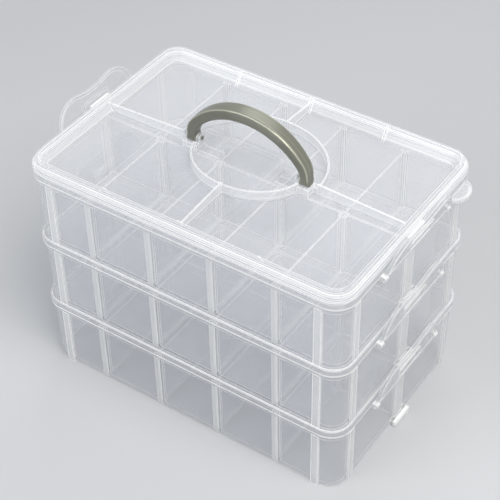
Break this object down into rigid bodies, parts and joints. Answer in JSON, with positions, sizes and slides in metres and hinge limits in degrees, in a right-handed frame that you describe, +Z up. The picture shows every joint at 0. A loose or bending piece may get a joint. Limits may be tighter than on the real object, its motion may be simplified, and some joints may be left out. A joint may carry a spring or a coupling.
{
  "type": "stacking craft parts organizer",
  "caption": "Clear stacking organizer for washi tape and craft parts: divided trays, a lid with a folding arched handle, and snap latches on both ends.",
  "frame": {"origin": "middle of the face that the box stands on", "axes": "+X along the long side towards the end with the thumb tab, +Y to the back, +Z up"},
  "size_m": [0.2678, 0.169, 0.2182],
  "materials": {
    "clear_tray": "clear, slightly milky",
    "clear_divider": "clear, slightly milky",
    "clear_lid": "clear, slightly milky",
    "clear_latch": "frosted clear",
    "olive_handle": "satin, olive grey"
  },
  "bodies": {
    "tier_bottom": {"tray_bottom": "clear_tray", "divider_bottom_front_1": "clear_divider", "divider_bottom_front_2": "clear_divider", "divider_bottom_front_3": "clear_divider", "divider_bottom_front_4": "clear_divider", "divider_bottom_back_1": "clear_divider", "divider_bottom_back_2": "clear_divider", "divider_bottom_back_3": "clear_divider", "divider_bottom_back_4": "clear_divider"},
    "tier_middle": {"tray_middle": "clear_tray", "divider_middle_front_1": "clear_divider", "divider_middle_front_2": "clear_divider", "divider_middle_front_3": "clear_divider", "divider_middle_front_4": "clear_divider", "divider_middle_back_1": "clear_divider", "divider_middle_back_2": "clear_divider", "divider_middle_back_3": "clear_divider", "divider_middle_back_4": "clear_divider"},
    "tier_top": {"tray_top": "clear_tray", "divider_top_front_1": "clear_divider", "divider_top_front_2": "clear_divider", "divider_top_front_3": "clear_divider", "divider_top_front_4": "clear_divider", "divider_top_back_1": "clear_divider", "divider_top_back_2": "clear_divider", "divider_top_back_3": "clear_divider", "divider_top_back_4": "clear_divider"},
    "lid": {"lid": "clear_lid"},
    "handle": {"handle": "olive_handle"},
    "latch_bottom_right": {"latch_bottom_right": "clear_latch"},
    "latch_bottom_left": {"latch_bottom_left": "clear_latch"},
    "latch_middle_right": {"latch_middle_right": "clear_latch"},
    "latch_middle_left": {"latch_middle_left": "clear_latch"},
    "latch_top_right": {"latch_top_right": "clear_latch"},
    "latch_top_left": {"latch_top_left": "clear_latch"}
  },
  "joints": [
    {"name": "middle_lift", "type": "slide", "parent": "tier_bottom", "child": "tier_middle", "axis": [0, 0, 1], "range_m": [0, 0.1]},
    {"name": "top_lift", "type": "slide", "parent": "tier_middle", "child": "tier_top", "axis": [0, 0, 1], "range_m": [0, 0.1]},
    {"name": "lid_lift", "type": "slide", "parent": "tier_top", "child": "lid", "axis": [0, 0, 1], "range_m": [0, 0.1]},
    {"name": "handle_fold", "type": "hinge", "parent": "lid", "child": "handle", "pos_m": [0, 0, 0.1805], "axis": [1, 0, 0], "range_deg": [-90, 0]},
    {"name": "latch_bottom_right_hinge", "type": "hinge", "parent": "tier_bottom", "child": "latch_bottom_right", "pos_m": [0.127, 0, 0.0515], "axis": [0, 1, 0], "range_deg": [-13, 143]},
    {"name": "latch_bottom_left_hinge", "type": "hinge", "parent": "tier_bottom", "child": "latch_bottom_left", "pos_m": [-0.127, 0, 0.0515], "axis": [0, -1, 0], "range_deg": [-13, 143]},
    {"name": "latch_middle_right_hinge", "type": "hinge", "parent": "tier_middle", "child": "latch_middle_right", "pos_m": [0.127, 0, 0.109], "axis": [0, 1, 0], "range_deg": [-13, 143]},
    {"name": "latch_middle_left_hinge", "type": "hinge", "parent": "tier_middle", "child": "latch_middle_left", "pos_m": [-0.127, 0, 0.109], "axis": [0, -1, 0], "range_deg": [-13, 143]},
    {"name": "latch_top_right_hinge", "type": "hinge", "parent": "tier_top", "child": "latch_top_right", "pos_m": [0.127, 0, 0.1665], "axis": [0, 1, 0], "range_deg": [-20, 136]},
    {"name": "latch_top_left_hinge", "type": "hinge", "parent": "tier_top", "child": "latch_top_left", "pos_m": [-0.127, 0, 0.1665], "axis": [0, -1, 0], "range_deg": [-20, 136]}
  ]
}
